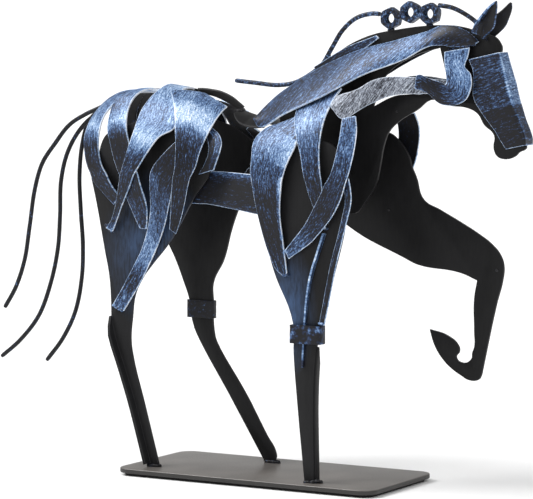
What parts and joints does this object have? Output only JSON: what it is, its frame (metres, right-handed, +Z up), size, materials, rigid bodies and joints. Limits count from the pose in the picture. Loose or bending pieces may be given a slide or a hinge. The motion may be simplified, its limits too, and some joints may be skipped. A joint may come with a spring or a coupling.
{
  "type": "metal horse statue",
  "caption": "Walking horse welded from brushed blue and black sheet-metal strips and flat leg plates, with rod mane and tail, on a flat rectangular base plate.",
  "frame": {"origin": "centre of the underside of the base", "axes": "+X along the base towards the horse's head, +Y to the horse's left, +Z up"},
  "size_m": [0.3135, 0.07, 0.2441],
  "materials": {
    "brushed_blue": "blue dry-brushed over black lacquer, satin",
    "satin_black": "satin black lacquer on cut sheet steel",
    "base_black": "fine satin black powder coat",
    "pad_rubber": "matt black foam-rubber pad"
  },
  "bodies": {
    "root": {"base_pad": "pad_rubber", "base_plate": "base_black", "croup_strip": "brushed_blue", "face_wrap": "brushed_blue", "far_cheek_curl": "brushed_blue", "far_crest_strip": "brushed_blue", "far_ear": "brushed_blue", "far_flank_band": "brushed_blue", "far_flank_rib": "brushed_blue", "far_fore_leg": "satin_black", "far_hind_cuff": "brushed_blue", "far_hind_leg": "satin_black", "far_mane_strip": "brushed_blue", "far_rump_strip_front": "brushed_blue", "far_rump_strip_long": "brushed_blue", "far_rump_strip_rear": "brushed_blue", "far_rump_strip_second": "brushed_blue", "far_shoulder_strip_cross": "brushed_blue", "far_shoulder_strip_front": "brushed_blue", "far_shoulder_strip_middle": "brushed_blue", "far_shoulder_strip_rear": "brushed_blue", "far_throat_strip": "brushed_blue", "head_neck_plate": "satin_black", "mane_nut_1": "brushed_blue", "mane_nut_2": "brushed_blue", "mane_nut_3": "brushed_blue", "mane_rod_front": "brushed_blue", "mane_rod_rear": "brushed_blue", "near_cheek_curl": "brushed_blue", "near_crest_strip": "brushed_blue", "near_ear": "brushed_blue", "near_flank_band": "brushed_blue", "near_flank_rib": "brushed_blue", "near_fore_cuff": "brushed_blue", "near_fore_fin": "brushed_blue", "near_fore_leg": "satin_black", "near_hind_leg": "satin_black", "near_mane_strip": "brushed_blue", "near_rump_strip_front": "brushed_blue", "near_rump_strip_long": "brushed_blue", "near_rump_strip_rear": "brushed_blue", "near_rump_strip_second": "brushed_blue", "near_shoulder_strip_cross": "brushed_blue", "near_shoulder_strip_front": "brushed_blue", "near_shoulder_strip_middle": "brushed_blue", "near_shoulder_strip_rear": "brushed_blue", "near_throat_strip": "brushed_blue", "saddle_strip": "satin_black", "back_strip": "satin_black", "tail_rod_lower": "satin_black", "tail_rod_middle": "satin_black", "tail_rod_upper": "satin_black"}
  },
  "joints": []
}
